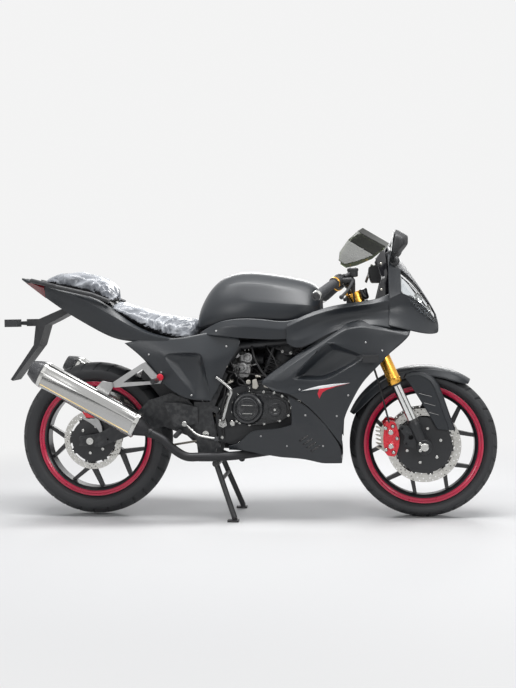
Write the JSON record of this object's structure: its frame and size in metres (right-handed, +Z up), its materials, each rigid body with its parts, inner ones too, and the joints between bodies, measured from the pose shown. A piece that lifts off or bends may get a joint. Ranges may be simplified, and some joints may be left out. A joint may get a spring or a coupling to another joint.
{
  "type": "sport bike",
  "caption": "Fully faired sport motorcycle with twin upswept mufflers, raised on its centre stand; steering, wheels and both stands move.",
  "frame": {"origin": "on the ground under the middle of the bike, centre plane", "axes": "+X towards the front wheel, +Y to the rider's left, +Z up"},
  "size_m": [1.96, 0.7408, 1.15],
  "materials": {
    "tyre": "satin rubber",
    "wheel_black": "satin black",
    "disc_steel": "brushed",
    "bare_steel": "satin",
    "chain_steel": "oiled",
    "gold_anodised": "anodised",
    "stanchion_chrome": "polished",
    "satin_black_metal": "satin",
    "hose_rubber": "satin",
    "grip_rubber": "matt",
    "control_plastic": "matt",
    "caliper_red": "gloss",
    "body_paint": "matt",
    "black_plastic": "matt",
    "engine_black": "cast, painted",
    "cast_aluminium": "cast",
    "pipe_black": "heatproof black",
    "muffler_polish": "polished",
    "seat_film": "covered in clear film",
    "lamp_lens": "clear",
    "tail_lens": "clear over red",
    "screen": "smoke tint",
    "amber": "smoked",
    "stand_black": "satin"
  },
  "bodies": {
    "chassis": {"frame": "satin_black_metal", "frame_pivot_plates": "satin_black_metal", "subframe": "satin_black_metal", "engine_crankcase": "engine_black", "engine_cylinder": "engine_black", "engine_covers": "engine_black", "carburettor": "cast_aluminium", "exhaust_pipes": "pipe_black", "mufflers": "muffler_polish", "pillion_brackets": "cast_aluminium", "swingarm": "satin_black_metal", "swingarm_shafts": "bare_steel", "rear_shock": "satin_black_metal", "rear_caliper": "caliper_red", "drive_chain": "chain_steel", "fuel_tank": "body_paint", "rider_seat": "seat_film", "pillion_seat": "seat_film", "tail_fairing": "body_paint", "tail_lamp": "tail_lens", "side_panels": "body_paint", "tank_covers": "body_paint", "side_fairings": "body_paint", "belly_pan": "body_paint", "nose_fairing": "body_paint", "windscreen": "screen", "mirrors": "black_plastic", "instruments": "black_plastic", "headlamps": "lamp_lens", "number_plate_bracket": "black_plastic", "indicators": "amber", "grab_rails": "black_plastic", "footrests": "cast_aluminium", "foot_levers": "bare_steel"},
    "steering": {"fork_uppers": "gold_anodised", "fork_stanchions": "stanchion_chrome", "fork_lowers": "satin_black_metal", "front_axle": "bare_steel", "fork_clamps": "satin_black_metal", "handlebars": "satin_black_metal", "grips": "grip_rubber", "hand_controls": "control_plastic", "front_calipers": "caliper_red", "front_mudguard": "body_paint", "brake_hoses": "hose_rubber"},
    "front_wheel": {"front_tyre": "tyre", "front_wheel_casting": "wheel_black", "front_discs": "disc_steel"},
    "rear_wheel": {"rear_tyre": "tyre", "rear_wheel_casting": "wheel_black", "rear_disc": "disc_steel", "rear_sprocket": "chain_steel"},
    "centre_stand": {"centre_stand": "stand_black"},
    "side_stand": {"side_stand": "stand_black"}
  },
  "joints": [
    {"name": "steering_turn", "type": "hinge", "parent": "chassis", "child": "steering", "pos_m": [0.44657, 0, 0.75], "axis": [-0.4019, 0, 0.9157], "range_deg": [-28, 28]},
    {"name": "front_wheel_turn", "type": "hinge", "parent": "steering", "child": "front_wheel", "pos_m": [0.69, 0, 0.29], "axis": [0, 1, 0], "continuous": true},
    {"name": "rear_wheel_turn", "type": "hinge", "parent": "chassis", "child": "rear_wheel", "pos_m": [-0.63, 0, 0.316], "axis": [0, 1, 0], "continuous": true},
    {"name": "centre_stand_fold", "type": "hinge", "parent": "chassis", "child": "centre_stand", "pos_m": [-0.129, 0, 0.222], "axis": [0, 1, 0], "range_deg": [0, 95]},
    {"name": "side_stand_fold", "type": "hinge", "parent": "chassis", "child": "side_stand", "pos_m": [-0.055, 0.172, 0.212], "axis": [0, -0.9322, -0.3621], "range_deg": [0, 104]}
  ]
}
